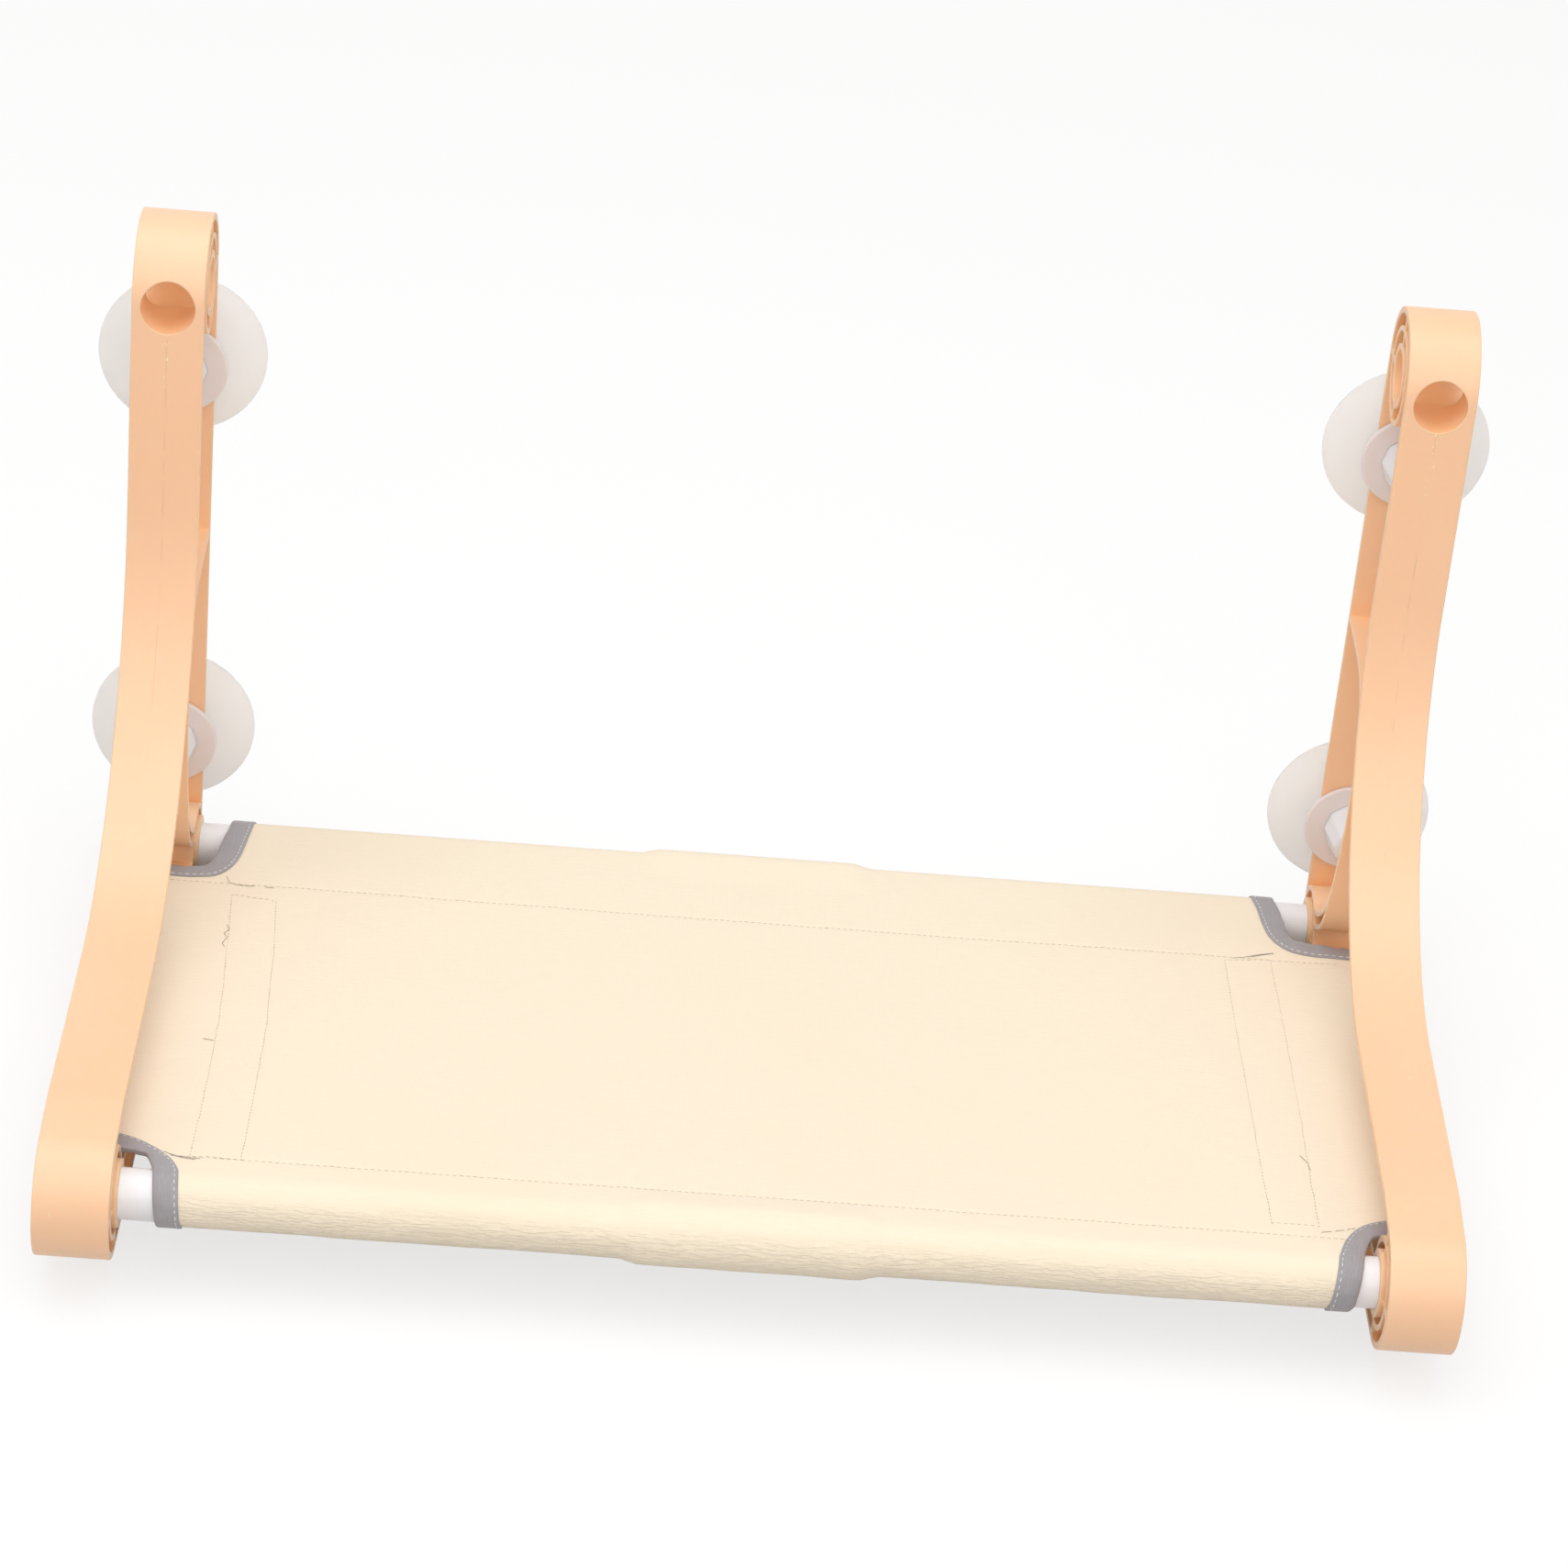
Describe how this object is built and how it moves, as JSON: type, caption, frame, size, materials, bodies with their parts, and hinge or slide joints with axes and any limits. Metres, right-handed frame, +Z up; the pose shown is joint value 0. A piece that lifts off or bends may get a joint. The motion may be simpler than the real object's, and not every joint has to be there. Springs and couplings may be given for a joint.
{
  "type": "window mounted cat perch",
  "caption": "Cat perch for a window: a canvas sling on tubes between ribbed L-shaped side frames, held on the glass by suction cups with hand nuts.",
  "frame": {"origin": "the middle of the suction cups, on the plane of the glass", "axes": "+X runs along the window, +Y goes into the glass, away from the room, +Z is up"},
  "size_m": [0.581, 0.349, 0.3162],
  "materials": {
    "peach_plastic": "satin moulded plastic",
    "white_pipe": "smooth extruded pipe",
    "canvas": "plain woven canvas",
    "grey_tape": "woven binding tape",
    "clear_vinyl": "clear soft vinyl",
    "pearl_plastic": "smooth moulded plastic",
    "white_plastic": "polished moulded plastic"
  },
  "bodies": {
    "perch": {"left_side_frame": "peach_plastic", "right_side_frame": "peach_plastic", "front_left_tube": "white_pipe", "front_right_tube": "white_pipe", "front_tube_coupling": "white_pipe", "rear_left_tube": "white_pipe", "rear_right_tube": "white_pipe", "rear_tube_coupling": "white_pipe", "sling": "canvas", "rear_left_corner_binding": "grey_tape", "rear_right_corner_binding": "grey_tape", "front_left_corner_binding": "grey_tape", "front_right_corner_binding": "grey_tape", "left_reinforcing_strip": "canvas", "right_reinforcing_strip": "canvas", "upper_left_suction_cup": "clear_vinyl", "upper_left_cup_stud": "white_plastic", "upper_right_suction_cup": "clear_vinyl", "upper_right_cup_stud": "white_plastic", "lower_left_suction_cup": "clear_vinyl", "lower_left_cup_stud": "white_plastic", "lower_right_suction_cup": "clear_vinyl", "lower_right_cup_stud": "white_plastic"},
    "upper_left_disc": {"upper_left_clamp_washer": "pearl_plastic"},
    "upper_left_nut": {"upper_left_knob_nut": "white_plastic"},
    "upper_right_disc": {"upper_right_clamp_washer": "pearl_plastic"},
    "upper_right_nut": {"upper_right_knob_nut": "white_plastic"},
    "lower_left_disc": {"lower_left_clamp_washer": "pearl_plastic"},
    "lower_left_nut": {"lower_left_knob_nut": "white_plastic"},
    "lower_right_disc": {"lower_right_clamp_washer": "pearl_plastic"},
    "lower_right_nut": {"lower_right_knob_nut": "white_plastic"}
  },
  "joints": [
    {"name": "upper_left_nut_turn", "type": "hinge", "parent": "upper_left_disc", "child": "upper_left_nut", "pos_m": [-0.2555, -0.0169, 0.088], "axis": [0, -1, 0], "range_deg": [0, 1080]},
    {"name": "upper_left_disc_travel", "type": "slide", "parent": "perch", "child": "upper_left_disc", "axis": [0, -1, 0], "range_m": [0, 0.00375]},
    {"name": "upper_right_nut_turn", "type": "hinge", "parent": "upper_right_disc", "child": "upper_right_nut", "pos_m": [0.2555, -0.0169, 0.088], "axis": [0, -1, 0], "range_deg": [0, 1080]},
    {"name": "upper_right_disc_travel", "type": "slide", "parent": "perch", "child": "upper_right_disc", "axis": [0, -1, 0], "range_m": [0, 0.00375]},
    {"name": "lower_left_nut_turn", "type": "hinge", "parent": "lower_left_disc", "child": "lower_left_nut", "pos_m": [-0.2555, -0.0169, -0.088], "axis": [0, -1, 0], "range_deg": [0, 1080]},
    {"name": "lower_left_disc_travel", "type": "slide", "parent": "perch", "child": "lower_left_disc", "axis": [0, -1, 0], "range_m": [0, 0.00375]},
    {"name": "lower_right_nut_turn", "type": "hinge", "parent": "lower_right_disc", "child": "lower_right_nut", "pos_m": [0.2555, -0.0169, -0.088], "axis": [0, -1, 0], "range_deg": [0, 1080]},
    {"name": "lower_right_disc_travel", "type": "slide", "parent": "perch", "child": "lower_right_disc", "axis": [0, -1, 0], "range_m": [0, 0.00375]}
  ],
  "couplings": [
    {"joint": "upper_left_disc_travel", "follows": "upper_left_nut_turn", "m_per_rad": 0.00019894},
    {"joint": "upper_right_disc_travel", "follows": "upper_right_nut_turn", "m_per_rad": 0.00019894},
    {"joint": "lower_left_disc_travel", "follows": "lower_left_nut_turn", "m_per_rad": 0.00019894},
    {"joint": "lower_right_disc_travel", "follows": "lower_right_nut_turn", "m_per_rad": 0.00019894}
  ]
}
